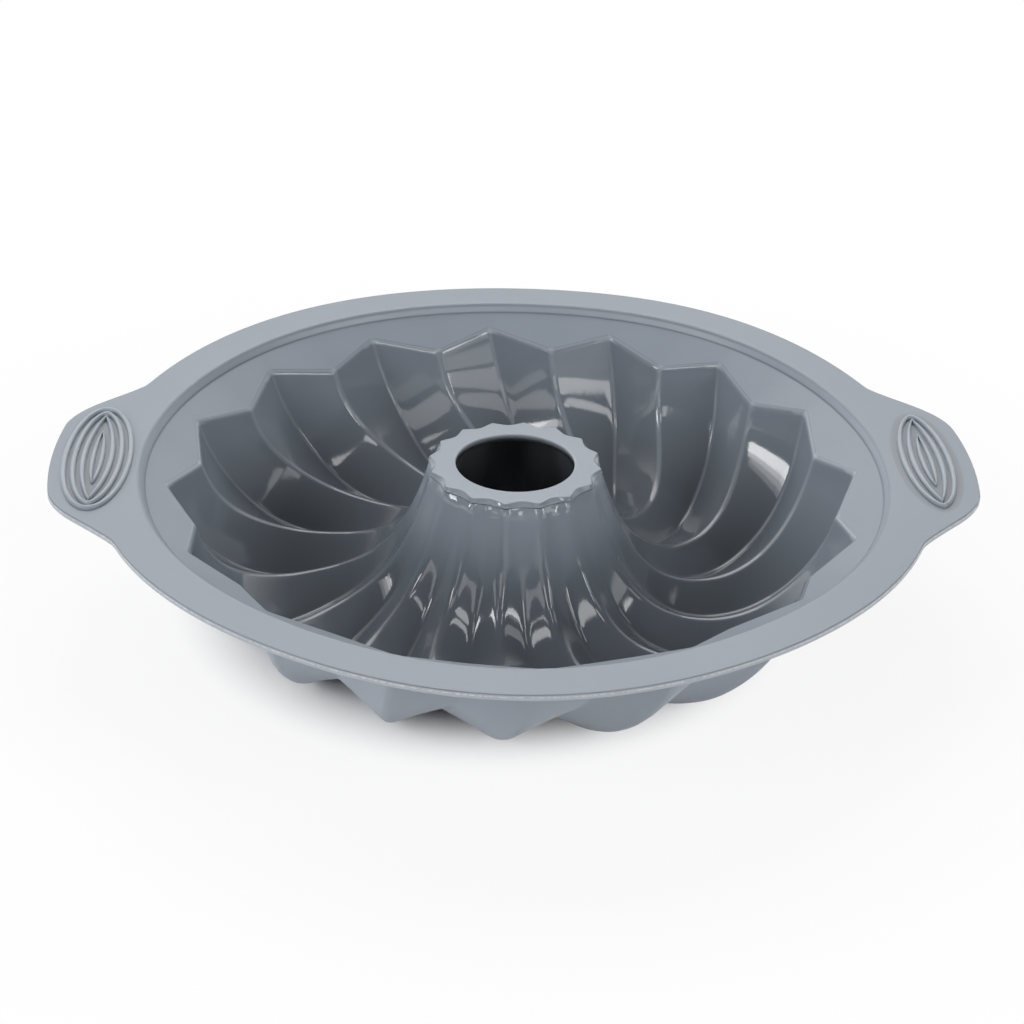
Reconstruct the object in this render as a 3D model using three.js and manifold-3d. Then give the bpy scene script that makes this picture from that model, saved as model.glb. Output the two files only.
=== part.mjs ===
// Silicone ring-cake mould: a fluted, swirled trough round an open chimney, with a flat rim and two grip tabs.
// Millimetres, +Z up, origin on the surface it stands on, under the middle of the chimney. Handles lie on X.
import * as THREE from 'three';
import { mergeVertices } from 'three/addons/utils/BufferGeometryUtils.js';
import Module from 'manifold-3d';

const wasm = await Module();
wasm.setup();

// Rim and lip
const rimRadius = 125;
const rimThickness = 2;
const flangeWidth = 13; // flat rim outside the step
const stepDrop = 2.6;
const stepRun = 1.5;
const flangeSeam = 1.4; // strip of flat rim that belongs to the lip
const lipAtTip = 6.5; // width of the lip from the step's foot to a star tip
const starDepth = 8.4; // from a star tip in to a star valley

// Fluted trough
const fluteCount = 16;
const tipPhase = 2.5; // degrees from the handle axis to the nearest star tip
const swirlTurn = 22.5; // degrees that a flute turns clockwise from mouth to collar
const wallThickness = 2;
const flankSlope = 25; // degrees between a flank and the surface of revolution
const cornerRun = 1.4; // length of flank taken up by a rounded fold or ridge inside the cavity
const outerCornerRun = 1.9; // the same on the outside, where the corners are fuller
const edgeRun = 1.3; // length of lip and wall taken up by the rounded star edge
const mitreRun = 2; // the outside corner under the lip lies lower than the star edge
const footFlat = 1.4; // the folds' outside corners are cut back this far to stand flat

// Cavity lines as radius and drop below the rim top: tip and fold are outermost, valley and ridge innermost
const tipDrop = 5.8;
const valleyDrop = 9.7;
const foldWallPull = new THREE.Vector2(-4.3, 24.6);
const ridgeWallPull = new THREE.Vector2(-3, 18.7);
const foldFloor = new THREE.Vector2(66, 46.8);
const ridgeFloor = new THREE.Vector2(63, 39.1);
const foldFloorRun = new THREE.Vector2(18, 21); // tangent lengths outwards and inwards along the floor
const ridgeFloorRun = new THREE.Vector2(15, 18);
const foldConePull = new THREE.Vector2(7.8, 31.6);
const ridgeConePull = new THREE.Vector2(7.5, 27.6);

// Chimney collar
const holeRadius = 17.9;
const collarCusp = 26.5; // at the foot of its edge
const collarScallop = 1.1;
const collarSlant = 0.4; // the edge leans in this far on its way up
const collarTopScallop = 2;
const collarThickness = 1.4; // at its edge, over the chimney's wall
const collarPlug = 0.9; // the part round the hole hangs this much lower, inside the chimney
const collarRound = 0.3;
const collarOverhang = 0.2;

// Handles and their grip ribs
const handleReach = 13.8;
const handleHalfWidth = 37.2; // at the middle of a slanting side
const handleShoulder = 16.7; // half width lost round a shoulder, from the slanting side to the round end
const handleSideDrop = 6.5; // reach lost round a shoulder
const handleSideSlope = 43; // degrees between a slanting side and the handle's axis
const handleRootRun = 12.6; // half width gained along a root fillet
const ribPoints = [1, 1.2, 1.8]; // how far each grip rib's ends are drawn to points, from the outside in
const ribPitch = 2.75;
const ribEndPitch = 2.6;
const gripClear = 0.95; // from the outer rib to the inner edge of the handle
const gripMargin = 6.6; // from the outer rib's ends to the handle's half width
const ribWidth = 1.7;
const ribTop = 0.7;
const ribHeight = 1;
const ribRoot = 0.4;
const spindleRadial = 1.3;
const spindleInset = 15; // shorter than the outer rib by this much at each end

// Clearance between neighbouring sections of the moulding
const seamGap = 0.2;

// Mesh density
const wallSteps = 8;
const coneSteps = 6;
const floorCrowding = 1.3; // steps lie closer together towards the floor
const ribSteps = 24;
const rimArcSteps = 44;
const handleArcSteps = 10;

const deg = THREE.MathUtils.degToRad;
const pitch = 360 / fluteCount;
const skinOffset = wallThickness / Math.cos(deg(flankSlope));
const mouldHeight = foldFloor.y + skinOffset - footFlat;
const stepRadius = rimRadius - flangeWidth; // top edge of the step inside the rim
const seamRadius = stepRadius + flangeSeam + seamGap;
const mouthTip = new THREE.Vector2(stepRadius - stepRun - lipAtTip, tipDrop);
const mouthValley = new THREE.Vector2(mouthTip.x - starDepth, valleyDrop);
const collarSeat = collarThickness + seamGap;
const foldTop = new THREE.Vector2(collarCusp - collarScallop - collarOverhang, collarSeat);
const ridgeTop = new THREE.Vector2(collarCusp - collarOverhang, collarSeat);
const plugRadius = foldTop.x - skinOffset - seamGap;
const handleRootAngle = THREE.MathUtils.radToDeg(Math.asin((handleHalfWidth + handleRootRun) / rimRadius));
const gripRadial = rimRadius - seamRadius - ribWidth / 2 - gripClear;
const gripAlong = handleHalfWidth - gripMargin;

const silicone = new THREE.MeshStandardMaterial({ color: 0x8d98a6, roughness: 0.42, metalness: 0 });
const siliconeRim = new THREE.MeshStandardMaterial({ color: 0xa0a9b4, roughness: 0.6, metalness: 0 });

const group = new THREE.Group();

function addMesh(name, geometry, material) {
  const mesh = new THREE.Mesh(geometry, material);
  mesh.name = name;
  group.add(mesh);
  return mesh;
}

// A cavity line runs down the wall for t from 0 to 1 and up the cone for t from 1 to 2
function cavityLine(mouth, wallPull, floor, floorRun, conePull, top) {
  const wall = new THREE.CubicBezierCurve(
    mouth, mouth.clone().add(wallPull), new THREE.Vector2(floor.x + floorRun.x, floor.y), floor);
  const cone = new THREE.CubicBezierCurve(
    floor, new THREE.Vector2(floor.x - floorRun.y, floor.y), top.clone().add(conePull), top);
  return { wall, cone };
}

const foldLine = cavityLine(mouthTip, foldWallPull, foldFloor, foldFloorRun, foldConePull, foldTop);
const ridgeLine = cavityLine(mouthValley, ridgeWallPull, ridgeFloor, ridgeFloorRun, ridgeConePull, ridgeTop);

// Radius and drop on a cavity line, or on the outside of the wall behind it
function linePoint(line, t, outside) {
  const curve = t <= 1 ? line.wall : line.cone;
  const local = t <= 1 ? t : t - 1;
  const point = curve.getPoint(local);
  if (!outside) return point;
  const tangent = curve.getTangent(local);
  return point.add(new THREE.Vector2(tangent.y, -tangent.x).multiplyScalar(skinOffset));
}

function swirl(t) {
  const middle = (s) => (linePoint(foldLine, s, false).x + linePoint(ridgeLine, s, false).x) / 2;
  const share = (middle(0) - middle(t)) / (middle(0) - middle(2));
  return swirlTurn * Math.sin(share * Math.PI / 2);
}

// A place in the mould: radius and drop below the rim top, at an angle in degrees
function place(radius, drop, angle) {
  return new THREE.Vector3(radius * Math.cos(deg(angle)), radius * Math.sin(deg(angle)), mouldHeight - drop);
}

// Corners of the zigzag section: half steps are ridges, whole steps are folds
function corner(halfStep, t, outside) {
  const line = halfStep % 2 === 0 ? foldLine : ridgeLine;
  const point = linePoint(line, t, outside);
  return place(point.x, point.y, tipPhase + halfStep * pitch / 2 - swirl(t));
}

function toward(from, to, distance) {
  return from.clone().lerp(to, distance / from.distanceTo(to));
}

function softCorner(previous, point, next, run) {
  const before = toward(point, previous, run);
  const after = toward(point, next, run);
  return before.add(after).multiplyScalar(0.25).addScaledVector(point, 0.5);
}

// Rounded zigzag across one flute, from its ridge to the next
function fluteRow(flute, t, outside) {
  const at = (step) => corner(2 * flute + step, t, outside);
  const [farLeft, left, fold, right, farRight] = [at(-2), at(-1), at(0), at(1), at(2)];
  const run = outside ? outerCornerRun : cornerRun;
  const row = [
    softCorner(farLeft, left, fold, run),
    toward(left, fold, run),
    toward(fold, left, run),
    softCorner(left, fold, right, run),
    toward(fold, right, run),
    toward(right, fold, run),
    softCorner(fold, right, farRight, run),
  ];
  for (const point of row) point.z = Math.max(point.z, 0); // flat where it stands
  return row;
}

// The same row with its two ends drawn in by half the clearance to its neighbours
function clearRow(row) {
  const last = row.length - 1;
  row[0] = toward(row[0], row[1], seamGap / 2);
  row[last] = toward(row[last], row[last - 1], seamGap / 2);
  return row;
}

// Closed solid through loops of equal length; an open run is capped between the two halves of its end loops
function loftSolid(loops, closedRun) {
  const count = loops[0].length;
  const positions = loops.flat().flatMap((p) => [p.x, p.y, p.z]);
  const faces = [];
  const runs = closedRun ? loops.length : loops.length - 1;
  for (let i = 0; i < runs; i += 1) {
    const near = i * count;
    const far = ((i + 1) % loops.length) * count;
    for (let j = 0; j < count; j += 1) {
      const k = (j + 1) % count;
      faces.push(near + j, near + k, far + k, near + j, far + k, far + j);
    }
  }
  if (!closedRun) {
    const end = (loops.length - 1) * count;
    for (let j = 0; j < count / 2 - 1; j += 1) {
      const [a, b, c, d] = [j, j + 1, count - 2 - j, count - 1 - j];
      faces.push(a, c, b, a, d, c);
      faces.push(end + a, end + b, end + c, end + a, end + c, end + d);
    }
  }
  const geometry = new THREE.BufferGeometry();
  geometry.setAttribute('position', new THREE.Float32BufferAttribute(positions, 3));
  geometry.setIndex(faces);
  geometry.computeVertexNormals();
  return geometry;
}

function toSolid(geometry) {
  const bare = geometry.clone();
  bare.deleteAttribute('normal');
  bare.deleteAttribute('uv');
  const merged = mergeVertices(bare, 1e-4);
  const mesh = new wasm.Mesh({
    numProp: 3,
    vertProperties: new Float32Array(merged.attributes.position.array),
    triVerts: new Uint32Array(merged.index.array),
  });
  return new wasm.Manifold(mesh);
}

function toGeometry(solid) {
  const mesh = solid.getMesh();
  const geometry = new THREE.BufferGeometry();
  geometry.setAttribute('position', new THREE.BufferAttribute(mesh.vertProperties, 3));
  geometry.setIndex(new THREE.BufferAttribute(mesh.triVerts, 1));
  geometry.computeVertexNormals();
  return geometry;
}

// Position on the wall curve a given distance below its start
function wallShare(distance) {
  return distance / foldLine.wall.getLength();
}

// Steps along a cavity line, closer together towards the floor
function wallStep(i) {
  return 1 - (1 - i / wallSteps) ** floorCrowding;
}

function coneStep(i) {
  return 1 + (i / coneSteps) ** floorCrowding;
}

// One flute: from under the star edge, down the wall and across the floor to the foot of the chimney
function makeFlute(flute) {
  const loops = [];
  for (let i = 0; i <= wallSteps; i += 1) {
    const inside = i === 0 ? wallShare(edgeRun + seamGap) : wallStep(i);
    const outside = i === 0 ? wallShare(mitreRun + seamGap) : wallStep(i);
    const inner = clearRow(fluteRow(flute, inside, false));
    const outer = clearRow(fluteRow(flute, outside, true));
    loops.push([...inner, ...outer.reverse()]);
  }
  return loftSolid(loops, false);
}

// Rounded zigzag round the whole mould, each shared corner once
function ringRow(t, outside) {
  const rows = [];
  for (let flute = 0; flute < fluteCount; flute += 1) rows.push(...fluteRow(flute, t, outside).slice(0, -1));
  return rows;
}

// Cross-sections around the mould from rows that run round it
function acrossRows(rows) {
  return rows[0].map((unused, j) => rows.map((row) => row[j]));
}

// Circle of the mould below each point of a row
function circleUnder(row, radius, drop) {
  return row.map((p) => place(radius, drop, THREE.MathUtils.radToDeg(Math.atan2(p.y, p.x))));
}

// Lip: a strip of rim, the step, the cone that falls to the star mouth, and the rounded star edge
function makeLip() {
  const star = ringRow(0, false);
  const outerRadius = stepRadius + flangeSeam;
  const footRadius = stepRadius - stepRun;
  const under = skinOffset - (stepRadius - footRadius) / 2;
  const foot = circleUnder(star, footRadius, stepDrop);
  const wall = ringRow(wallShare(edgeRun), false);
  const brow = star.map((p, j) => toward(p, foot[j], edgeRun));
  const nose = star.map((p, j) => brow[j].clone().add(wall[j]).multiplyScalar(0.25).addScaledVector(p, 0.5));
  const rows = [
    circleUnder(star, outerRadius, 0),
    circleUnder(star, stepRadius, 0),
    foot,
    brow,
    nose,
    wall,
    ringRow(wallShare(mitreRun), true),
    circleUnder(star, footRadius + under, stepDrop + wallThickness),
    circleUnder(star, outerRadius, rimThickness),
  ];
  return loftSolid(acrossRows(rows.reverse()), true);
}

// Chimney: the fluted cone that rises from the floor to the collar, open below
function makeChimney() {
  const inner = [];
  const outer = [];
  for (let i = 0; i <= coneSteps; i += 1) {
    const t = i === 0 ? 1 + seamGap / foldLine.cone.getLength() : coneStep(i);
    inner.push(ringRow(t, false));
    outer.unshift(ringRow(t, true));
  }
  return loftSolid(acrossRows([...inner, ...outer].reverse()), true);
}

// Collar: ring with a flat top and a scalloped, leaning edge; its points stand over the chimney's ridges
function makeCollar() {
  const perFlute = 6;
  const loops = [];
  for (let i = 0; i < fluteCount * perFlute; i += 1) {
    const share = (i % perFlute) / perFlute - 0.5;
    const angle = tipPhase - swirlTurn + (Math.floor(i / perFlute) + share) * pitch;
    const drawnIn = 1 - 4 * share * share;
    const foot = collarCusp - collarScallop * drawnIn;
    const top = collarCusp - collarSlant - collarTopScallop * drawnIn;
    loops.push([
      place(holeRadius, 0, angle),
      place(holeRadius, collarThickness + collarPlug, angle),
      place(plugRadius, collarThickness + collarPlug, angle),
      place(plugRadius, collarThickness, angle),
      place(foot, collarThickness, angle),
      place(top, collarRound, angle),
      place(top - collarRound, 0, angle),
    ]);
  }
  return loftSolid(loops.reverse(), true);
}

// Plate of the rim's thickness from an outline in plan
function rimPlate(shape, curveSegments) {
  const settings = { depth: rimThickness, bevelEnabled: false, curveSegments };
  const geometry = new THREE.ExtrudeGeometry(shape, settings);
  return geometry.translate(0, 0, mouldHeight - rimThickness);
}

// Plain stretch of rim between the two handles, over the given angles in degrees
function makeRimArc(from, to) {
  const trim = seamGap / rimRadius;
  const shape = new THREE.Shape();
  shape.absarc(0, 0, rimRadius, deg(from) + trim, deg(to) - trim, false);
  shape.absarc(0, 0, seamRadius, deg(to) - trim, deg(from) + trim, true);
  return rimPlate(shape, rimArcSteps);
}

// Pull point of a bend: where the line through one end meets the line through the other
function crossing(pointA, wayA, pointB, wayB) {
  const along = pointB.clone().sub(pointA).cross(wayB) / wayA.cross(wayB);
  return pointA.clone().addScaledVector(wayA, along);
}

// Outline of a handle on +X: root fillets out of the rim, slanting sides, shoulders and a round end
function handleShape() {
  const unit = (angle) => new THREE.Vector2(Math.cos(angle), Math.sin(angle));
  const across = (angle) => new THREE.Vector2(-Math.sin(angle), Math.cos(angle));
  const reach = rimRadius + handleReach;
  const endAngle = Math.asin((handleHalfWidth - handleShoulder) / reach);
  const sideReach = reach - handleSideDrop;
  const sideAngle = Math.asin(handleHalfWidth / sideReach);
  const rootAngle = deg(handleRootAngle);
  const end = unit(endAngle).multiplyScalar(reach);
  const side = unit(sideAngle).multiplyScalar(sideReach);
  const root = unit(rootAngle).multiplyScalar(rimRadius);
  const sideWay = unit(Math.PI - deg(handleSideSlope));
  const shoulder = crossing(end, across(endAngle), side, sideWay);
  const fillet = crossing(side, sideWay, root, across(rootAngle));
  const shape = new THREE.Shape();
  shape.moveTo(root.x, -root.y);
  shape.quadraticCurveTo(fillet.x, -fillet.y, side.x, -side.y);
  shape.quadraticCurveTo(shoulder.x, -shoulder.y, end.x, -end.y);
  shape.absarc(0, 0, reach, -endAngle, endAngle, false);
  shape.quadraticCurveTo(shoulder.x, shoulder.y, side.x, side.y);
  shape.quadraticCurveTo(fillet.x, fillet.y, root.x, root.y);
  shape.absarc(0, 0, seamRadius, rootAngle, -rootAngle, true);
  return shape;
}

// Point on a grip rib's path; a higher power draws its two ends to points
function ribPoint(radial, along, pointed, share, height) {
  const angle = share * 2 * Math.PI;
  const across = Math.sign(Math.cos(angle)) * Math.abs(Math.cos(angle)) ** pointed;
  return new THREE.Vector3(rimRadius + radial * across, along * Math.sin(angle), height);
}

function makeRib(pointed, order) {
  const radial = gripRadial - order * ribPitch;
  const along = gripAlong - order * ribEndPitch;
  const base = mouldHeight - ribRoot;
  const top = mouldHeight + ribHeight;
  const loops = [];
  for (let i = 0; i < ribSteps; i += 1) {
    const at = (grow, height) => ribPoint(radial + grow, along + grow, pointed, i / ribSteps, height);
    loops.push([at(ribWidth / 2, base), at(ribTop / 2, top), at(-ribTop / 2, top), at(-ribWidth / 2, base)]);
  }
  return loftSolid(loops.reverse(), true);
}

function makeSpindle() {
  const leaf = new THREE.Shape();
  const along = gripAlong - spindleInset;
  leaf.moveTo(rimRadius, -along);
  leaf.quadraticCurveTo(rimRadius + 2 * spindleRadial, 0, rimRadius, along);
  leaf.quadraticCurveTo(rimRadius - 2 * spindleRadial, 0, rimRadius, -along);
  const settings = { depth: ribRoot + ribHeight, bevelEnabled: false, curveSegments: ribSteps / 4 };
  return new THREE.ExtrudeGeometry(leaf, settings).translate(0, 0, mouldHeight - ribRoot);
}

function makeHandle() {
  let solid = toSolid(rimPlate(handleShape(), handleArcSteps));
  ribPoints.forEach((pointed, order) => {
    solid = solid.add(toSolid(makeRib(pointed, order)));
  });
  return toGeometry(solid.add(toSolid(makeSpindle())));
}

const handleGeometry = makeHandle();
addMesh('handle_right', handleGeometry, siliconeRim);
addMesh('handle_left', handleGeometry, siliconeRim).rotation.z = Math.PI;
addMesh('rim_back', makeRimArc(handleRootAngle, 180 - handleRootAngle), siliconeRim);
addMesh('rim_front', makeRimArc(180 + handleRootAngle, 360 - handleRootAngle), siliconeRim);
addMesh('lip', makeLip(), siliconeRim);
for (let flute = 0; flute < fluteCount; flute += 1) {
  addMesh(`flute_${String(flute + 1).padStart(2, '0')}`, makeFlute(flute), silicone);
}
addMesh('chimney', makeChimney(), silicone);
addMesh('chimney_collar', makeCollar(), siliconeRim);

export default group;
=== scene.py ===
import math

import bmesh
import bpy
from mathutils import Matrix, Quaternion, Vector


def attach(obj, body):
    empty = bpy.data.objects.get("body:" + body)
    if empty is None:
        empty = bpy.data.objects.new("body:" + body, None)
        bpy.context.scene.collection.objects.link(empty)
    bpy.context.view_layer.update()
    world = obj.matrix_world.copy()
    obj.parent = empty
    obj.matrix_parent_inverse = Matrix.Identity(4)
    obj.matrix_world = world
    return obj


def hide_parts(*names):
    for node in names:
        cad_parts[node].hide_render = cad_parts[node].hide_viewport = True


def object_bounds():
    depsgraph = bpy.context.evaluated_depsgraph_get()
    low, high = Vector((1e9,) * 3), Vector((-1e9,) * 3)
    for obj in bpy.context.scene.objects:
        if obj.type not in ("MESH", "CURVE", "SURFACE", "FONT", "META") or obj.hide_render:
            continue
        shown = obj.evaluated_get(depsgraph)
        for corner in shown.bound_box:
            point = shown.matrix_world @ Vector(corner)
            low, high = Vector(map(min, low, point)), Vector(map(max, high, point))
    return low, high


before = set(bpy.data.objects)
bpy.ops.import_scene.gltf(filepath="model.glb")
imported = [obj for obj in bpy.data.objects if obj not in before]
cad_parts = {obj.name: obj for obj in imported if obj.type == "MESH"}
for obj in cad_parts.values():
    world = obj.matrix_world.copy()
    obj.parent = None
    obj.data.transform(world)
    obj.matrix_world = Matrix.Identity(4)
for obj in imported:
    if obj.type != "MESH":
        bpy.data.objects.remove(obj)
cadLow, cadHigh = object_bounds()

mm = 0.001
ribHeight = 1.0 * mm  # the grip ribs are the highest point of the mould
rimTop = cadHigh.z - ribHeight


def startFresh():
    if bpy.context.object and bpy.context.object.mode != "OBJECT":
        bpy.ops.object.mode_set(mode="OBJECT")
    bpy.ops.object.select_all(action="DESELECT")


def meshOf(piece):
    mesh = bmesh.from_edit_mesh(piece.data)
    mesh.verts.index_update()
    return mesh


def pickParts(piece, mesh, kind, chosen):
    bpy.ops.mesh.select_mode(type=kind)
    bpy.ops.mesh.select_all(action="DESELECT")
    for part in chosen:
        part.select = True
    mesh.select_flush_mode()
    bmesh.update_edit_mesh(piece.data)


def pickVerts(piece, keep):
    mesh = meshOf(piece)
    pickParts(piece, mesh, "VERT", [vert for vert in mesh.verts if keep(vert)])


def pickEdges(piece, keep):
    mesh = meshOf(piece)
    pickParts(piece, mesh, "EDGE", [edge for edge in mesh.edges if keep(edge)])


def pickFaces(piece, keep):
    mesh = meshOf(piece)
    pickParts(piece, mesh, "FACE", [face for face in mesh.faces if keep(face)])


def pickedVerts(piece):
    return [vert for vert in meshOf(piece).verts if vert.select]


def markLayer(piece, name):
    mesh = meshOf(piece)
    return mesh.verts.layers.int.get(name) or mesh.verts.layers.int.new(name)


def markPicked(piece, name, value):
    layer = markLayer(piece, name)
    for vert in pickedVerts(piece):
        vert[layer] = value


def reachOf(point):
    return math.hypot(point.x, point.y)


def bearing(point):
    return math.degrees(math.atan2(point.y, point.x))


def moveUp(lift):
    bpy.ops.transform.translate(value=(0, 0, lift))


def spread(acrossX, acrossY):
    bpy.ops.transform.resize(value=(acrossX, acrossY, 1), center_override=(0, 0, 0))


def applyModifiers(piece):
    bpy.context.view_layer.objects.active = piece
    for modifier in list(piece.modifiers):
        bpy.ops.object.modifier_apply(modifier=modifier.name)


def evenShade(piece):
    bpy.ops.object.shade_smooth()
    piece.modifiers.new("evenShade", "WEIGHTED_NORMAL")
    applyModifiers(piece)


def giveMaterials(piece, materials):
    for material in materials:
        piece.data.materials.append(material)


# Camera at the photograph's view
photoView = {
    "azimuth": -3.0,
    "elevation": 28.65,
    "distance": 0.75,  # from the middle of the rim
    "tilt": -1.15,
    "pan": -0.04,
    "roll": 1.64,
    "lens": 87.55,
    "sensor": 36.0,
}


def addCamera():
    turn = math.radians(photoView["azimuth"])
    rise = math.radians(photoView["elevation"])
    flat = math.cos(rise)
    back = Vector((math.sin(turn) * flat, -math.cos(turn) * flat, math.sin(rise)))
    bpy.ops.object.camera_add(location=Vector((0, 0, rimTop)) + back * photoView["distance"])
    camera = bpy.context.object
    camera.rotation_mode = "QUATERNION"
    aim = (-back).to_track_quat("-Z", "Y")
    tilt = Quaternion((1, 0, 0), math.radians(photoView["tilt"]))
    roll = Quaternion((0, 0, 1), math.radians(photoView["roll"]))
    pan = Quaternion((0, 1, 0), -math.radians(photoView["pan"]))
    camera.rotation_quaternion = aim @ tilt @ pan @ roll
    camera.data.lens = photoView["lens"]
    camera.data.sensor_width = photoView["sensor"]
    bpy.context.scene.camera = camera
    print("camera set")


# Silicone skin: the cavity's curves have corners as radius and drop below the rim top, in millimetres
swirlForm = {
    "flutes": 16,
    "tipPhase": 2.5,  # degrees from the handle axis to the nearest star tip
    "swirlTurn": 22.5,  # degrees turned clockwise from mouth to collar
    "foldLag": 3.0,  # degrees by which the folds turn later than the ridges, on the wall
    "foldLagEnd": 0.75,  # share of the way in where they meet again
    "ridgeLead": 0.8,  # degrees by which the ridges start ahead at the mouth
    "ridgeLeadEnd": 0.12,
    "foldWall": [(104.0, 5.8), (99.7, 30.4), (84.0, 46.8), (66.0, 46.8)],
    "foldCone": [(66.0, 46.8), (45.0, 46.8), (33.0, 33.0), (25.2, 1.4)],
    "ridgeWall": [(96.6, 9.7), (92.6, 28.4), (78.0, 39.1), (63.0, 39.1)],
    "ridgeCone": [(63.0, 39.1), (45.0, 39.1), (33.8, 29.0), (26.3, 1.4)],
    "wallRings": 26,
    "coneRings": 22,
    "foldRound": 1.0 * mm,
    "ridgeRound": 1.4 * mm,
    "roundSteps": 3,
    "flankCuts": 7,
    "coneSoft": [(58.0 * mm, 1), (48.0 * mm, 2), (38.0 * mm, 3)],  # smoothing passes inside each radius
    "softFactor": 0.5,
    "skin": 2.0 * mm,
}
rimForm = {
    "radius": 125.0 * mm,
    "stepTop": 112.0 * mm,
    "stepFoot": 110.5 * mm,
    "stepDrop": 2.6 * mm,
    "starRound": 1.3 * mm,
    "footRound": 0.3 * mm,
    "stepRound": 1.2 * mm,
    "edgeRound": 0.3 * mm,
    "edgeSteps": 2,
    "edgeCrease": 1.0,  # radians between faces at the edge's two corners, at least
    "edgeWall": 1.0 * mm,  # the edge's upright lines are longer than this
    "edgeCuts": 3,
    "edgeSlack": 0.1 * mm,  # what still counts as level
    # Parting line on the edge: drop, and share of the full reach
    "edgeLines": [(0.65 * mm, 0.9984), (1.0 * mm, 0.9998), (1.35 * mm, 0.9988)],
}
rimWarp = {
    "lifts": [1.6 * mm, 1.4 * mm, 0.8 * mm, 1.6 * mm],  # front right, back right, back left, front left
    "reach": (85.0 * mm, 118.0 * mm),  # the lift grows between these radii
    "still": 14.0,  # degrees beside the handle axis that stay level
    "curl": 0.5 * mm,  # the tabs bend up a little
    "curlReach": (112.0 * mm, 132.0 * mm),
    "curlTurn": (15.0, 27.0),
}
tabForm = {
    "reach": 13.8 * mm,
    "endHalf": 20.5 * mm,  # half length of the round end
    "halfWidth": 36.6 * mm,  # at the middle of a slanting side
    "sideReach": 7.3 * mm,
    "sideSlope": 43.0,  # degrees between a side and the handle axis
    "rootRun": 12.6 * mm,
    "turn": 0.5,  # degrees by which the tabs lie behind the handle axis
    "outlineSteps": 100,
}
foldMark, ridgeMark = 1, 2
starMark, footMark, stepMark, edgeMark = 1, 2, 3, 4


def bezierPoint(corners, t):
    weights = ((1 - t) ** 3, 3 * t * (1 - t) ** 2, 3 * t * t * (1 - t), t ** 3)
    radius = sum(weight * corner[0] for weight, corner in zip(weights, corners))
    drop = sum(weight * corner[1] for weight, corner in zip(weights, corners))
    return radius * mm, drop * mm


def cavityPoint(line, t):
    if t <= 1:
        return bezierPoint(swirlForm[line + "Wall"], t)
    return bezierPoint(swirlForm[line + "Cone"], t - 1)


def swirlAt(line, t):
    def middle(place):
        return cavityPoint("fold", place)[0] + cavityPoint("ridge", place)[0]
    share = (middle(0) - middle(t)) / (middle(0) - middle(2))
    turn = swirlForm["swirlTurn"] * math.sin(share * math.pi / 2)
    if line == "fold" and share < swirlForm["foldLagEnd"]:
        turn -= swirlForm["foldLag"] * math.sin(math.pi * share / swirlForm["foldLagEnd"]) ** 2
    if line == "ridge" and share < swirlForm["ridgeLeadEnd"]:
        turn += swirlForm["ridgeLead"] * (1 - share / swirlForm["ridgeLeadEnd"]) ** 2
    return turn


def markLines(skin):
    halfPitch = 180 / swirlForm["flutes"]
    layer = markLayer(skin, "line")
    for vert in meshOf(skin).verts:
        steps = round((bearing(vert.co) - swirlForm["tipPhase"]) / halfPitch)
        vert[layer] = foldMark if steps % 2 == 0 else ridgeMark


def shapeStarRing(skin, t, before=None):
    layer = markLayer(skin, "line")
    ring = {vert.index: vert[layer] for vert in pickedVerts(skin)}
    for line, mark in (("fold", foldMark), ("ridge", ridgeMark)):
        pickVerts(skin, lambda vert: ring.get(vert.index) == mark)
        turn = swirlAt(line, t) - (0 if before is None else swirlAt(line, before))
        bpy.ops.transform.rotate(value=math.radians(turn), orient_axis="Z", center_override=(0, 0, 0))
        sample = pickedVerts(skin)[0].co.copy()
        radius, drop = cavityPoint(line, t)
        grow = radius / reachOf(sample)
        spread(grow, grow)
        moveUp(rimTop - drop - sample.z)
    pickVerts(skin, lambda vert: vert.index in ring)


def growSwirl(skin):
    steps = [i / swirlForm["wallRings"] for i in range(swirlForm["wallRings"] + 1)]
    steps += [1 + i / swirlForm["coneRings"] for i in range(1, swirlForm["coneRings"] + 1)]
    bpy.ops.mesh.select_all(action="SELECT")
    shapeStarRing(skin, 0)
    for before, after in zip(steps, steps[1:]):
        bpy.ops.mesh.extrude_region_move()
        shapeStarRing(skin, after, before)


def roundFlutes(skin):
    for mark, size in ((foldMark, "foldRound"), (ridgeMark, "ridgeRound")):
        layer = markLayer(skin, "line")
        pickEdges(skin, lambda edge: all(vert[layer] == mark for vert in edge.verts))
        bpy.ops.mesh.bevel(offset=swirlForm[size], segments=swirlForm["roundSteps"], affect="EDGES")


# Marks the verts on the ridge and fold roundings that get painted highlights
def markRounds(skin):
    mesh = meshOf(skin)
    for name in ("ridgeLine", "foldLine", "starLine"):
        mesh.verts.layers.float.new(name)
    layer = mesh.verts.layers.int["line"]
    shine = {ridgeMark: mesh.verts.layers.float["ridgeLine"], foldMark: mesh.verts.layers.float["foldLine"]}
    for vert in mesh.verts:
        if all(len({corner[layer] for corner in face.verts}) == 1 for face in vert.link_faces):
            vert[shine[vert[layer]]] = 1
    bmesh.update_edit_mesh(skin.data)


def splitFlanks(skin):
    layer = markLayer(skin, "line")
    pickEdges(skin, lambda edge: edge.verts[0][layer] != edge.verts[1][layer])
    bpy.ops.mesh.subdivide(number_cuts=swirlForm["flankCuts"])


def softenCone(skin):
    for reach, passes in swirlForm["coneSoft"]:
        pickVerts(skin, lambda vert: reachOf(vert.co) < reach and not vert.is_boundary)
        bpy.ops.mesh.vertices_smooth(factor=swirlForm["softFactor"], repeat=passes)


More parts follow.
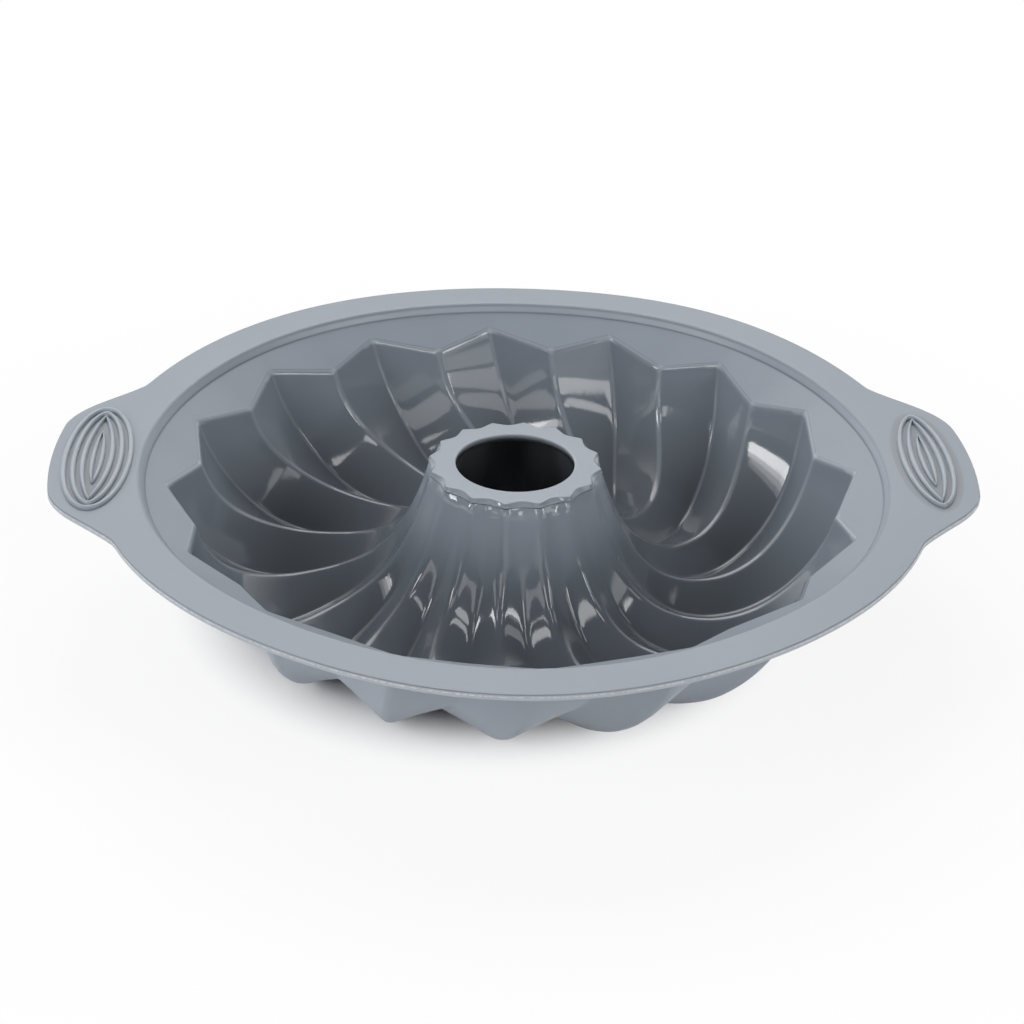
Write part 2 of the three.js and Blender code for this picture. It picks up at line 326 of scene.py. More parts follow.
def ringOut(skin, radius, drop, mark):
    bpy.ops.mesh.extrude_region_move()
    bpy.ops.transform.resize(value=(1, 1, 0))
    bpy.ops.transform.tosphere(value=1.0)
    sample = pickedVerts(skin)[0].co.copy()
    grow = radius / reachOf(sample)
    spread(grow, grow)
    moveUp(rimTop - drop - sample.z)
    markPicked(skin, "ring", mark)


def growRim(skin):
    nearMouth = rimForm["stepFoot"] * 0.8  # only the star's edge lies outside this
    pickEdges(skin, lambda edge: edge.is_boundary and reachOf(edge.verts[0].co) > nearMouth)
    markPicked(skin, "ring", starMark)
    ringOut(skin, rimForm["stepFoot"], rimForm["stepDrop"], footMark)
    ringOut(skin, rimForm["stepTop"], 0, stepMark)
    ringOut(skin, rimForm["radius"], 0, edgeMark)
    for mark, size in ((starMark, "starRound"), (footMark, "footRound"), (stepMark, "stepRound")):
        layer = markLayer(skin, "ring")
        pickEdges(skin, lambda edge: all(vert[layer] == mark for vert in edge.verts))
        bpy.ops.mesh.bevel(offset=rimForm[size], segments=swirlForm["roundSteps"], affect="EDGES")
    mesh = meshOf(skin)
    layer = mesh.verts.layers.int["ring"]
    shine = mesh.verts.layers.float["starLine"]
    # The star's edge rounding gets a painted highlight
    for vert in mesh.verts:
        if all(corner[layer] == starMark for face in vert.link_faces for corner in face.verts):
            vert[shine] = 1
    bmesh.update_edit_mesh(skin.data)


def crossing(pointA, wayA, pointB, wayB):
    return pointA + wayA * ((pointB - pointA).cross(wayB) / wayA.cross(wayB))


def bend(start, pull, end):
    steps = [i / tabForm["outlineSteps"] for i in range(tabForm["outlineSteps"] + 1)]
    return [start * (1 - t) ** 2 + pull * 2 * t * (1 - t) + end * t * t for t in steps]


def tabOutline():
    rim = rimForm["radius"]
    tip = rim + tabForm["reach"]
    root = math.asin((tabForm["halfWidth"] + tabForm["rootRun"]) / rim)
    end = math.asin(tabForm["endHalf"] / tip)
    slope = math.radians(tabForm["sideSlope"])
    endPoint = Vector((math.cos(end), math.sin(end))) * tip
    endWay = Vector((-math.sin(end), math.cos(end)))
    width = tabForm["halfWidth"]
    side = Vector((math.sqrt((rim + tabForm["sideReach"]) ** 2 - width ** 2), width))
    sideWay = Vector((-math.cos(slope), math.sin(slope)))
    rootPoint = Vector((math.cos(root), math.sin(root))) * rim
    rootWay = Vector((-math.sin(root), math.cos(root)))
    points = [Vector((tip, 0))]
    points += bend(endPoint, crossing(endPoint, endWay, side, sideWay), side)
    points += bend(side, crossing(side, sideWay, rootPoint, rootWay), rootPoint)[1:]
    return [(math.degrees(math.atan2(p.y, p.x)), p.length) for p in points]


def growTabs(skin):
    outline = tabOutline()
    rootAngle = outline[-1][0]
    layer = markLayer(skin, "ring")
    edge = []
    for vert in meshOf(skin).verts:
        fromAxis = abs(math.degrees(math.atan2(vert.co.y, abs(vert.co.x))) - tabForm["turn"])
        if vert[layer] == edgeMark and fromAxis < rootAngle:
            edge.append((vert.index, fromAxis))
    for index, fromAxis in edge:
        last = next(i for i in range(1, len(outline)) if outline[i][0] >= fromAxis)
        (angleA, reachA), (angleB, reachB) = outline[last - 1], outline[last]
        part = (fromAxis - angleA) / (angleB - angleA)
        grow = (reachA + (reachB - reachA) * part) / rimForm["radius"]
        pickVerts(skin, lambda vert: vert.index == index)
        spread(grow, grow)


def between(value, low, high):
    share = min(max((value - low) / (high - low), 0), 1)
    return share * share * (3 - 2 * share)


def curlUp(point):
    fromAxis = abs(math.degrees(math.atan2(point.y, abs(point.x))))
    onTab = 1 - between(fromAxis, *rimWarp["curlTurn"])
    return rimWarp["curl"] * onTab * between(reachOf(point), *rimWarp["curlReach"])


def warpRim(skin):
    low, high = rimWarp["reach"]
    still = rimWarp["still"]
    mesh = meshOf(skin)
    layer = mesh.verts.layers.float.new("rimDrop")
    for vert in mesh.verts:
        vert[layer] = rimTop - vert.co.z
        share = min(max((reachOf(vert.co) - low) / (high - low), 0), 1)
        turn = bearing(vert.co)
        fromAxis = min(abs(turn), 180 - abs(turn))
        wave = math.sin(math.pi * max(fromAxis - still, 0) / (90 - still)) ** 2
        quarter = int(turn // 90 + 1) % 4
        vert.co.z += rimWarp["lifts"][quarter] * share * wave + curlUp(vert.co)
    bmesh.update_edit_mesh(skin.data)


def thicken(skin):
    bpy.ops.mesh.select_all(action="SELECT")
    bpy.ops.mesh.normals_make_consistent(inside=False)
    mesh = meshOf(skin)
    highest = max(mesh.faces, key=lambda face: face.calc_center_median().z)
    if highest.normal.z < 0:
        bpy.ops.mesh.flip_normals()
    bpy.ops.object.mode_set(mode="OBJECT")
    shell = skin.modifiers.new("shell", "SOLIDIFY")
    shell.thickness = swirlForm["skin"]
    shell.offset = -1
    shell.use_even_offset = True
    shell.material_offset = 2  # the outside has the second pair of materials
    applyModifiers(skin)
    bpy.ops.object.mode_set(mode="EDIT")
    pickVerts(skin, lambda vert: vert.co.z < 0)
    bpy.ops.transform.resize(value=(1, 1, 0), center_override=(0, 0, 0))


def dressEdge(skin):
    layer = markLayer(skin, "ring")
    slack = rimForm["edgeSlack"]

    def onEdge(edge):
        return all(vert[layer] == edgeMark for vert in edge.verts)

    def riseOf(edge):
        return abs(edge.verts[0].co.z - edge.verts[1].co.z)

    def isCorner(edge):
        return onEdge(edge) and riseOf(edge) < slack and edge.calc_face_angle(0) > rimForm["edgeCrease"]

    pickEdges(skin, isCorner)
    bpy.ops.mesh.bevel(offset=rimForm["edgeRound"], segments=rimForm["edgeSteps"], affect="EDGES")
    layer = markLayer(skin, "ring")
    pickEdges(skin, lambda edge: riseOf(edge) > rimForm["edgeWall"] and onEdge(edge))
    bpy.ops.mesh.subdivide(number_cuts=rimForm["edgeCuts"])
    for drop, share in rimForm["edgeLines"]:
        layer = markLayer(skin, "ring")
        level = rimTop - drop
        pickVerts(skin, lambda vert: vert[layer] == edgeMark and abs(vert.co.z - level) < slack)
        spread(share, share)


def makeSkin(materials):
    startFresh()
    turn = math.radians(swirlForm["tipPhase"])
    bpy.ops.mesh.primitive_circle_add(
        vertices=2 * swirlForm["flutes"], radius=rimForm["stepFoot"], rotation=(0, 0, turn))
    skin = bpy.context.object
    skin.name = "mouldSkin"
    bpy.ops.object.transform_apply(location=True, rotation=True, scale=True)
    bpy.ops.object.mode_set(mode="EDIT")
    markLayer(skin, "ring")
    markLines(skin)
    growSwirl(skin)
    roundFlutes(skin)
    markRounds(skin)
    splitFlanks(skin)
    softenCone(skin)
    growRim(skin)
    growTabs(skin)
    giveMaterials(skin, materials)
    layer = markLayer(skin, "ring")
    pickFaces(skin, lambda face: all(v[layer] for v in face.verts) and any(v[layer] > 1 for v in face.verts))
    skin.active_material_index = 1
    bpy.ops.object.material_slot_assign()
    thicken(skin)
    dressEdge(skin)
    warpRim(skin)
    bpy.ops.object.mode_set(mode="OBJECT")
    for name in ("ring", "line"):
        skin.data.attributes.remove(skin.data.attributes[name])
    evenShade(skin)
    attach(skin, "root")
    flutes = ["flute_%02d" % (i + 1) for i in range(swirlForm["flutes"])]
    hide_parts("rim_front", "rim_back", "handle_left", "handle_right", "lip", "chimney", *flutes)
    print("skin made", len(skin.data.polygons))


# Scalloped collar round the chimney's mouth: sections as radius and drop below the rim top, in millimetres
collarForm = {
    "perFlute": 16,
    "hole": [(17.9, 2.3), (17.9, 0.5), (18.0, 0.2), (18.2, 0.05), (18.5, 0.0)],
    "cusp": [(25.7, 0.0), (25.95, 0.06), (26.1, 0.24), (26.22, 0.85), (26.36, 1.0), (26.5, 1.2), (26.45, 1.5),
             (25.6, 1.9)],
    "scallop": [2.0, 2.0, 2.0, 1.3, 1.2, 1.1, 1.1, 1.1],  # how far each line is drawn in between points
    "glossBelow": 0.4 * mm,
    "soft": 0.4,  # how round the points are
}


def scallopShare(place):
    u = abs(2 * place / collarForm["perFlute"] - 1)  # 0 between two points and 1 at a point
    wave = (1 - math.cos(math.pi * u)) / 2
    return 1 - (u * u + (wave - u * u) * collarForm["soft"])


def makeCollar(materials):
    startFresh()
    perFlute = collarForm["perFlute"]
    count = perFlute * swirlForm["flutes"]
    pointAngle = swirlForm["tipPhase"] - swirlForm["swirlTurn"] + 180 / swirlForm["flutes"]
    start = collarForm["hole"][0]
    bpy.ops.mesh.primitive_circle_add(
        vertices=count, radius=start[0] * mm, location=(0, 0, rimTop - start[1] * mm),
        rotation=(0, 0, math.radians(pointAngle)))
    collar = bpy.context.object
    collar.name = "chimneyCollar"
    bpy.ops.object.transform_apply(location=True, rotation=True, scale=True)
    bpy.ops.object.mode_set(mode="EDIT")
    bpy.ops.mesh.select_all(action="SELECT")
    before = start
    for step in collarForm["hole"][1:]:
        bpy.ops.mesh.extrude_region_move()
        spread(step[0] / before[0], step[0] / before[0])
        moveUp((before[1] - step[1]) * mm)
        before = step
    for step, scallop in zip(collarForm["cusp"], collarForm["scallop"]):
        bpy.ops.mesh.extrude_region_move()
        moveUp((before[1] - step[1]) * mm)
        ring = {}
        for vert in pickedVerts(collar):
            ring[vert.index] = round((bearing(vert.co) - pointAngle) * count / 360) % perFlute
        for place in range(perFlute):
            pickVerts(collar, lambda vert: ring.get(vert.index) == place)
            now = reachOf(pickedVerts(collar)[0].co)
            grow = (step[0] - scallop * scallopShare(place)) * mm / now
            spread(grow, grow)
        pickVerts(collar, lambda vert: vert.index in ring)
        before = step
    pickEdges(collar, lambda edge: edge.is_boundary)
    bpy.ops.mesh.bridge_edge_loops()
    bpy.ops.mesh.select_all(action="SELECT")
    bpy.ops.mesh.normals_make_consistent(inside=False)
    giveMaterials(collar, materials)
    glossTop = rimTop - collarForm["glossBelow"]
    pickFaces(collar, lambda face: face.calc_center_median().z < glossTop)
    collar.active_material_index = 1
    bpy.ops.object.material_slot_assign()
    bpy.ops.object.mode_set(mode="OBJECT")
    evenShade(collar)
    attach(collar, "root")
    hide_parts("chimney_collar")
    print("collar made", len(collar.data.polygons))


# Grip ribs on the two tabs
gripForm = {
    "radial": 9.6 * mm,
    "along": 30.6 * mm,
    "shift": 1.0 * mm,  # the grip lies a little behind the handle axis
    "points": [1.0, 1.2, 1.8],  # how far each rib's ends are drawn to points, from the outside in
    "pitch": 2.75 * mm,
    "endPitch": 2.6 * mm,
    "steps": 96,
    "smoothAngle": 60.0,
    # Rib section from outer foot to inner foot: growth of the oval and height, in millimetres
    "section": [(0.86, -0.3), (0.84, 0.25), (0.73, 0.64), (0.46, 0.9), (0.15, 1.0),
                (-0.15, 1.0), (-0.46, 0.9), (-0.73, 0.64), (-0.84, 0.25), (-0.86, -0.3)],
    # Slim loop in the middle: radial, along, pointed, share of the section
    "loop": [1.3 * mm, 15.4 * mm, 1.5, 0.8],
}


def startOval(radial, along, pointed, level):
    startFresh()
    bpy.ops.mesh.primitive_circle_add(vertices=gripForm["steps"], radius=1, location=(0, 0, level))
    oval = bpy.context.object
    bpy.ops.object.transform_apply(location=True, rotation=True, scale=True)
    bpy.ops.object.mode_set(mode="EDIT")
    mesh = meshOf(oval)
    for vert in mesh.verts:
        vert.co.x = math.copysign(abs(vert.co.x) ** pointed, vert.co.x)
    bmesh.update_edit_mesh(oval.data)
    bpy.ops.mesh.select_all(action="SELECT")
    spread(radial, along)
    return oval


def makeRib(radial, along, pointed, share):
    section = []
    for grow, height in gripForm["section"]:
        section.append((grow * share * mm, height * (share if height > 0 else 1) * mm))
    first = section[0]
    rib = startOval(radial + first[0], along + first[0], pointed, rimTop + first[1])
    for before, step in zip(section, section[1:]):
        bpy.ops.mesh.extrude_region_move()
        spread((radial + step[0]) / (radial + before[0]), (along + step[0]) / (along + before[0]))
        moveUp(step[1] - before[1])
    pickEdges(rib, lambda edge: edge.is_boundary)
    bpy.ops.mesh.bridge_edge_loops()
    bpy.ops.object.mode_set(mode="OBJECT")
    return rib


def makeGrip(name, side, material):
    ribs = []
    for order, pointed in enumerate(gripForm["points"]):
        radial = gripForm["radial"] - order * gripForm["pitch"]
        along = gripForm["along"] - order * gripForm["endPitch"]
        ribs.append(makeRib(radial, along, pointed, 1))
    ribs.append(makeRib(*gripForm["loop"]))
    startFresh()
    for rib in ribs:
        rib.select_set(True)
    bpy.context.view_layer.objects.active = ribs[0]
    bpy.ops.object.join()
    grip = bpy.context.object
    grip.name = name
    bpy.ops.object.mode_set(mode="EDIT")
    bpy.ops.mesh.select_all(action="SELECT")
    bpy.ops.mesh.normals_make_consistent(inside=False)
    bpy.ops.transform.translate(value=(side * rimForm["radius"], gripForm["shift"], 0))
    for vert in meshOf(grip).verts:
        vert.co.z += curlUp(vert.co)
    bmesh.update_edit_mesh(grip.data)
    bpy.ops.object.mode_set(mode="OBJECT")
    bpy.ops.object.shade_smooth_by_angle(angle=math.radians(gripForm["smoothAngle"]))
    giveMaterials(grip, [material])
    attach(grip, "root")
    print(name, "made", len(grip.data.polygons))


# Silicone: one moulding, satin on the rim and outside, glossier in the cavity
siliconeForm = {
    "ior": 1.43,
    "cloudScale": 22.0,  # wide, faint unevenness of tone and gloss
    "cloudDetail": 4.0,
    "grainDetail": 3.0,
    "bumpDepth": 0.4 * mm,
    "highlightCrisp": 1.5,  # higher makes the painted highlights along ridges and folds thinner
}
satinFinish = {
    "colour": (0.243, 0.277, 0.32, 1),
    "shade": (0.232, 0.265, 0.306, 1),
    "roughness": (0.34, 0.43),
    "shine": 0.75,
    "grain": 900.0,
    "bump": 0.05,
    "lip": (0.258, 0.294, 0.34, 1),  # painted light: the lip inside the step is lighter
    "lipReach": (110.3 * mm, 112.2 * mm),
    "foot": (0.2, 0.227, 0.262, 1),  # painted shade: a dark line along the foot of the step
    "footReach": (110.2 * mm, 110.45 * mm, 110.55 * mm, 110.9 * mm),
    "step": (0.36, 0.405, 0.46, 1),  # painted light: the step's upright face is lighter
    "stepReach": (110.6 * mm, 110.9 * mm, 111.4 * mm, 112.0 * mm),
    "gapShade": (0.2, 0.223, 0.255, 1),  # painted shade between the grip ribs
    "gapFade": (0.94, 1.1),  # squared share of the grip's oval over which it ends
    "edge": (0.47, 0.51, 0.56, 1),  # painted light: the rim's upright edge is lighter
    "edgeDrop": 0.35 * mm,
    "flash": (0.75, 0.75, 0.76, 1),  # pale parting line round it
    "flashReach": 118.0 * mm,
    "flashDrop": 0.95 * mm,
    "flashHalf": 0.16 * mm,
    "flashGrain": (0.3, 0.7),  # grain over which the line is broken up
}
collarFinish = {
    # painted light: the collar is a lighter copy of the silicone
    "colour": (0.3, 0.336, 0.383, 1),
    "shade": (0.286, 0.321, 0.366, 1),
    "roughness": (0.24, 0.32),
    "shine": 0.5,
    "grain": 900.0,
    "bump": 0.04,
    "hole": (0.4, 0.44, 0.49, 1),  # painted highlight: a light edge round the hole
    "holeReach": (18.2 * mm, 18.6 * mm),
}
underFinish = {
    # painted light: the outside is a lighter copy of the silicone
    "colour": (0.43, 0.472, 0.53, 1),
    "shade": (0.41, 0.45, 0.508, 1),
    "roughness": (0.45, 0.55),
    "shine": 0.2,
    "grain": 900.0,
    "bump": 0.05,
    "inside": (0.08, 0.09, 0.102, 1),  # little light reaches the top of the chimney from below
    "insideReach": (38.0 * mm, 50.0 * mm),
}
ribFinish = {
    # painted light: the ribs are a lighter copy of the silicone
    "colour": (0.37, 0.41, 0.462, 1),
    "shade": (0.355, 0.393, 0.443, 1),
    "roughness": (0.30, 0.38),
    "shine": 0.6,
    "grain": 900.0,
    "bump": 0.04,
    "depth": (0.05 * mm, 0.6 * mm),  # from the rim top; the ribs' lower sides get painted shade
    "depthShade": (0.10, 0.113, 0.13, 1),
}
glossFinish = {
    "colour": (0.25, 0.285, 0.33, 1),
    "shade": (0.24, 0.274, 0.317, 1),
    # painted shade: the cone is darker than the walls
    "cone": (0.155, 0.179, 0.21, 1),
    "coneReach": (54.0 * mm, 72.0 * mm),
    "top": (0.3, 0.338, 0.386, 1),  # the top of the cone catches more light
    "topReach": (25.0 * mm, 36.0 * mm),
    "roughness": (0.055, 0.09),
    "shine": 0.8,
    "grain": 700.0,
    "bump": 0.02,
    # painted shade: the cavity gets darker towards the bottom
    "depth": (-46.0 * mm, -6.0 * mm),
    "depthShade": (0.11, 0.125, 0.144, 1),
    "ridge": (0.55, 0.6, 0.66, 1),  # painted highlight along each ridge and fold
    "ridgeShare": 0.2,
    "ridgeReach": (54.0 * mm, 72.0 * mm),
    "foldShare": 0.13,
    "foldReach": (66.0 * mm, 80.0 * mm),
    "starShare": 0.38,  # and a painted highlight along the star's edge
}


def addNode(tree, kind, settings):
    node = tree.nodes.new(kind)
    for name, value in settings.items():
        node.inputs[name].default_value = value
    return node


def mixTone(tree, share, low, high):
    tone = tree.nodes.new("ShaderNodeMix")
    tone.data_type = "RGBA"
    tree.links.new(share, tone.inputs["Factor"])
    for name, colour in (("A", low), ("B", high)):
        if isinstance(colour, tuple):
            tone.inputs[name].default_value = colour
        else:
            tree.links.new(colour, tone.inputs[name])
    return tone.outputs["Result"]


def rampUp(tree, value, low, high):
    ramp = addNode(tree, "ShaderNodeMapRange", {"From Min": low, "From Max": high})
    ramp.interpolation_type = "SMOOTHSTEP"
    tree.links.new(value, ramp.inputs["Value"])
    return ramp.outputs["Result"]


def reckon(tree, operation, *values):
    maths = tree.nodes.new("ShaderNodeMath")
    maths.operation = operation
    for i, value in enumerate(values):
        if isinstance(value, float):
            maths.inputs[i].default_value = value
        else:
            tree.links.new(value, maths.inputs[i])
    return maths.outputs["Value"]


def drawn(tree, name):
    line = tree.nodes.new("ShaderNodeAttribute")
    line.attribute_name = name
    return line.outputs["Fac"]


def bandTone(tree, tone, reach, band, colour):
    inner, crisp, fade, outer = band
    share = reckon(tree, "SUBTRACT", rampUp(tree, reach, inner, crisp), rampUp(tree, reach, fade, outer))
    return mixTone(tree, share, tone, colour)


def highlightShare(tree, line, finish, reach):
    crisp = reckon(tree, "POWER", drawn(tree, line + "Line"), siliconeForm["highlightCrisp"])
    share = reckon(tree, "MULTIPLY", crisp, finish[line + "Share"])
    return reckon(tree, "MULTIPLY", share, rampUp(tree, reach, *finish[line + "Reach"]))


def fluteHighlights(tree, finish, tone, reach):
    onRidge = highlightShare(tree, "ridge", finish, reach)
    onFold = highlightShare(tree, "fold", finish, reach)
    onStar = reckon(tree, "MULTIPLY", drawn(tree, "starLine"), finish["starShare"])
    share = reckon(tree, "ADD", reckon(tree, "ADD", onRidge, onFold), onStar)
    return mixTone(tree, share, tone, finish["ridge"])


def gripGapShade(tree, finish, tone, place):
    fromGrip = reckon(tree, "SUBTRACT", reckon(tree, "ABSOLUTE", place.outputs["X"]), rimForm["radius"])
    sideways = reckon(tree, "DIVIDE", fromGrip, gripForm["radial"])
    lengthways = reckon(tree, "SUBTRACT", place.outputs["Y"], gripForm["shift"])
    lengthways = reckon(tree, "DIVIDE", lengthways, gripForm["along"])
    oval = reckon(tree, "ADD", reckon(tree, "MULTIPLY", sideways, sideways),
                  reckon(tree, "MULTIPLY", lengthways, lengthways))
    return mixTone(tree, rampUp(tree, oval, *finish["gapFade"]), finish["gapShade"], tone)


def litEdgeAndParting(tree, finish, tone, reach, grain):
    drop = drawn(tree, "rimDrop")
    outside = reckon(tree, "GREATER_THAN", reach, finish["flashReach"])
    below = reckon(tree, "GREATER_THAN", drop, finish["edgeDrop"])
    tone = mixTone(tree, reckon(tree, "MULTIPLY", outside, below), tone, finish["edge"])
    line = reckon(tree, "COMPARE", drop, finish["flashDrop"], finish["flashHalf"])
    uneven = rampUp(tree, grain, *finish["flashGrain"])
    share = reckon(tree, "MULTIPLY", reckon(tree, "MULTIPLY", line, outside), uneven)
    return mixTone(tree, share, tone, finish["flash"])


def makeSilicone(name, finish):
    material = bpy.data.materials.new(name)
    material.use_nodes = True
    tree = material.node_tree
    shader = tree.nodes["Principled BSDF"]
    shader.inputs["IOR"].default_value = siliconeForm["ior"]
    shader.inputs["Specular IOR Level"].default_value = finish["shine"]
    coordinates = tree.nodes.new("ShaderNodeTexCoord").outputs["Object"]
    place = tree.nodes.new("ShaderNodeSeparateXYZ")
    tree.links.new(coordinates, place.inputs["Vector"])
    across = reckon(tree, "MULTIPLY", place.outputs["X"], place.outputs["X"])
    along = reckon(tree, "MULTIPLY", place.outputs["Y"], place.outputs["Y"])
    reach = reckon(tree, "SQRT", reckon(tree, "ADD", across, along))
    cloudForm = {"Scale": siliconeForm["cloudScale"], "Detail": siliconeForm["cloudDetail"]}
    grainForm = {"Scale": finish["grain"], "Detail": siliconeForm["grainDetail"]}
    clouds = addNode(tree, "ShaderNodeTexNoise", cloudForm)
    grain = addNode(tree, "ShaderNodeTexNoise", grainForm)
    tree.links.new(coordinates, clouds.inputs["Vector"])
    tree.links.new(coordinates, grain.inputs["Vector"])
    tone = mixTone(tree, clouds.outputs["Fac"], finish["colour"], finish["shade"])
    # painted light and shade by radius: darker cone, lighter cone top and lip, dark chimney top, light hole
    # edge
    for part in ("cone", "top", "inside", "lip", "hole"):
        if part in finish:
            tone = mixTone(tree, rampUp(tree, reach, *finish[part + "Reach"]), finish[part], tone)
    # painted shade: darker towards the bottom
    if "depthShade" in finish:
        low, high = finish["depth"]
        level = rampUp(tree, place.outputs["Z"], rimTop + low, rimTop + high)
        tone = mixTone(tree, level, finish["depthShade"], tone)
    # painted highlights along the ridges, folds and the star's edge
    if "ridge" in finish:
        tone = fluteHighlights(tree, finish, tone, reach)
    # painted shade at the step's foot and painted light on its upright face
    for part in ("foot", "step"):
        if part in finish:
            tone = bandTone(tree, tone, reach, finish[part + "Reach"], finish[part])
    # painted shade between the grip ribs
    if "gapShade" in finish:
        tone = gripGapShade(tree, finish, tone, place)
    # painted light on the rim's upright edge, and the pale parting line
    if "flash" in finish:
        tone = litEdgeAndParting(tree, finish, tone, reach, grain.outputs["Fac"])
    tree.links.new(tone, shader.inputs["Base Color"])
    smooth, dull = finish["roughness"]
    rough = addNode(tree, "ShaderNodeMapRange", {"To Min": smooth, "To Max": dull})
    tree.links.new(clouds.outputs["Fac"], rough.inputs["Value"])
    tree.links.new(rough.outputs["Result"], shader.inputs["Roughness"])
    bumpForm = {"Strength": finish["bump"], "Distance": siliconeForm["bumpDepth"]}
    bump = addNode(tree, "ShaderNodeBump", bumpForm)
    tree.links.new(grain.outputs["Fac"], bump.inputs["Height"])
    tree.links.new(bump.outputs["Normal"], shader.inputs["Normal"])
    return material


# Studio: white floor, soft lamps from the sides and back, and boxes that only shine in the gloss
# Each lamp has a bearing and height in degrees, a size and a power
studio = {
    "floorSize": 8.0,
    "floorColour": (0.95, 0.95, 0.955, 1),
    "contactReach": (0.066, 0.098),  # the floor glows white, painted light, away from the mould, so the shadow shows only under it
    "contactLift": 0.88,
    "contactShift": (0.009, -0.004, 0.0),  # moves the patch that doesn't glow, so the shadow falls to the left
    "farReach": (0.12, 0.28),
    "sky": (1.0, 1.0, 1.0, 1),
    "skyStrength": 0.03,
    "skyGloss": (0.03, 1.2),  # how bright the gloss sees the room in front and the backdrop behind
    "skyTurn": (0.2, 0.75),
    "softDistance": 1.4,
    "softLights": [
        ("leftKey", -150.0, 27.0, (0.75, 0.75), 8.9),
        ("rightKey", -30.0, 27.0, (0.75, 0.75), 7.7),
        ("backKey", 90.0, 50.0, (0.9, 0.75), 8.6),
        ("frontKey", -90.0, 62.0, (0.9, 0.6), 1.9),
        ("backLeftKey", 135.0, 35.0, (0.75, 0.75), 4.8),
    ],
    "shineDistance": 1.3,
    "shineBoxes": [
        ("lowLeft", -160.0, 6.5, (1.4, 0.26), 1.34),
        ("lowFront", -82.0, 8.0, (0.9, 0.32), 0.65),
        ("lowRight", -40.0, 8.0, (0.46, 0.32), 0.72),
        ("frontBox", -82.0, 20.0, (0.5, 0.25), 0.32),
        ("cornerBox", -104.0, 27.0, (0.34, 0.32), 0.6),
        ("lowCorner", -144.0, 22.0, (0.2, 0.34), 0.36),
        ("rightBox", -30.0, 24.0, (0.38, 0.3), 0.7),
        ("sideBox", -17.0, 38.0, (0.27, 0.3), 0.45),
        ("rightWindow", -40.0, 28.0, (0.11, 0.48), 1.15),
        ("frontWindow", -76.8, 34.5, (0.19, 0.4), 1.1),
        ("frontHigh", -64.0, 49.5, (0.13, 0.3), 0.56),
        ("edgeWindow", -122.0, 38.0, (0.07, 0.24), 0.2),
        ("cornerWindow", -135.0, 42.0, (0.16, 0.22), 0.55),
        ("leftWindow", -160.8, 28.0, (0.15, 0.2), 1.05),
        ("leftFade", -160.0, 34.5, (0.15, 0.1), 0.28),
        ("leftFaint", -158.0, 39.0, (0.15, 0.1), 0.15),
        ("leftEnd", -158.0, 43.5, (0.15, 0.1), 0.07),
        ("backBox", 90.0, 45.0, (0.9, 0.7), 3.6),
    ],
}


def seenRays(tree):
    path = tree.nodes.new("ShaderNodeLightPath")
    seen = reckon(tree, "ADD", path.outputs["Is Camera Ray"], path.outputs["Is Glossy Ray"])
    return reckon(tree, "MINIMUM", reckon(tree, "ADD", seen, path.outputs["Is Transmission Ray"]), 1.0)


def paintFloor(floor):
    paint = bpy.data.materials.new("floorPaint")
    paint.use_nodes = True
    tree = paint.node_tree
    tree.nodes.remove(tree.nodes["Principled BSDF"])
    matt = addNode(tree, "ShaderNodeBsdfDiffuse", {"Color": studio["floorColour"]})
    glow = tree.nodes.new("ShaderNodeEmission")
    place = tree.nodes.new("ShaderNodeTexCoord")
    away = tree.nodes.new("ShaderNodeVectorMath")
    away.operation = "LENGTH"
    shift = tree.nodes.new("ShaderNodeVectorMath")
    shift.inputs[1].default_value = studio["contactShift"]
    tree.links.new(place.outputs["Object"], shift.inputs[0])
    tree.links.new(shift.outputs["Vector"], away.inputs[0])
    # painted light: the floor glows more with distance from the mould
    near = rampUp(tree, away.outputs["Value"], *studio["contactReach"])
    far = rampUp(tree, away.outputs["Value"], *studio["farReach"])
    lift = reckon(tree, "ADD", reckon(tree, "MULTIPLY", near, studio["contactLift"]),
                  reckon(tree, "MULTIPLY", far, 1 - studio["contactLift"]))
    both = tree.nodes.new("ShaderNodeMixShader")
    tree.links.new(reckon(tree, "MULTIPLY", seenRays(tree), lift), both.inputs["Fac"])
    tree.links.new(matt.outputs["BSDF"], both.inputs[1])
    tree.links.new(glow.outputs["Emission"], both.inputs[2])
    tree.links.new(both.outputs["Shader"], tree.nodes["Material Output"].inputs["Surface"])
    floor.data.materials.append(paint)


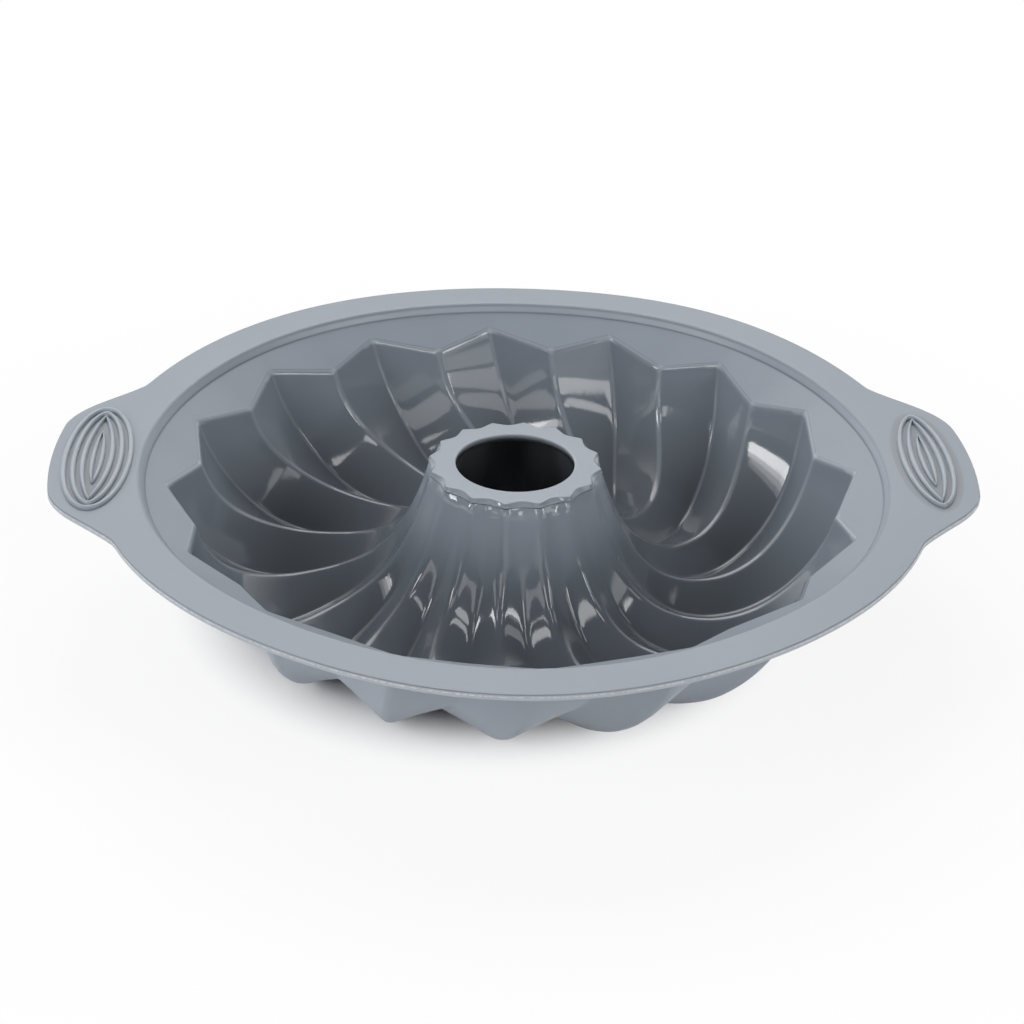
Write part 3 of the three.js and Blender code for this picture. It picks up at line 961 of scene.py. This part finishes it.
def paintSky(world):
    world.use_nodes = True
    tree = world.node_tree
    sky = tree.nodes["Background"]
    sky.inputs["Color"].default_value = studio["sky"]
    way = tree.nodes.new("ShaderNodeSeparateXYZ")
    tree.links.new(tree.nodes.new("ShaderNodeTexCoord").outputs["Generated"], way.inputs["Vector"])
    front, behind = studio["skyGloss"]
    backward = rampUp(tree, way.outputs["Y"], *studio["skyTurn"])
    seen = reckon(tree, "ADD", front, reckon(tree, "MULTIPLY", backward, behind - front))
    change = reckon(tree, "MULTIPLY", reckon(tree, "SUBTRACT", seen, studio["skyStrength"]), seenRays(tree))
    tree.links.new(reckon(tree, "ADD", change, studio["skyStrength"]), sky.inputs["Strength"])


def addLamp(distance, name, turn, rise, size, power):
    turn, rise = math.radians(turn), math.radians(rise)
    way = Vector((math.cos(turn) * math.cos(rise), math.sin(turn) * math.cos(rise), math.sin(rise)))
    bpy.ops.object.light_add(type="AREA", location=Vector((0, 0, rimTop)) + way * distance)
    lamp = bpy.context.object
    lamp.name = name
    lamp.data.shape = "RECTANGLE"
    lamp.data.size, lamp.data.size_y = size
    lamp.data.energy = power
    lamp.visible_camera = False
    lamp.rotation_euler = (-way).to_track_quat("-Z", "Y").to_euler()
    return lamp


def addStudio():
    startFresh()
    bpy.ops.mesh.primitive_plane_add(size=studio["floorSize"])
    floor = bpy.context.object
    floor.name = "floor"
    paintFloor(floor)
    world = bpy.context.scene.world or bpy.data.worlds.new("sky")
    bpy.context.scene.world = world
    paintSky(world)
    for light in studio["softLights"]:
        addLamp(studio["softDistance"], *light).visible_glossy = False
    for box in studio["shineBoxes"]:
        addLamp(studio["shineDistance"], *box).visible_diffuse = False
    bpy.context.scene.view_settings.view_transform = "Standard"
    print("studio set")


addCamera()
satin = makeSilicone("siliconeSatin", satinFinish)
gloss = makeSilicone("siliconeGloss", glossFinish)
rib = makeSilicone("siliconeRib", ribFinish)
under = makeSilicone("siliconeUnder", underFinish)
collar = makeSilicone("siliconeCollar", collarFinish)
makeSkin([gloss, satin, under, satin])
makeCollar([collar, gloss])
makeGrip("gripRight", 1, rib)
makeGrip("gripLeft", -1, rib)
addStudio()
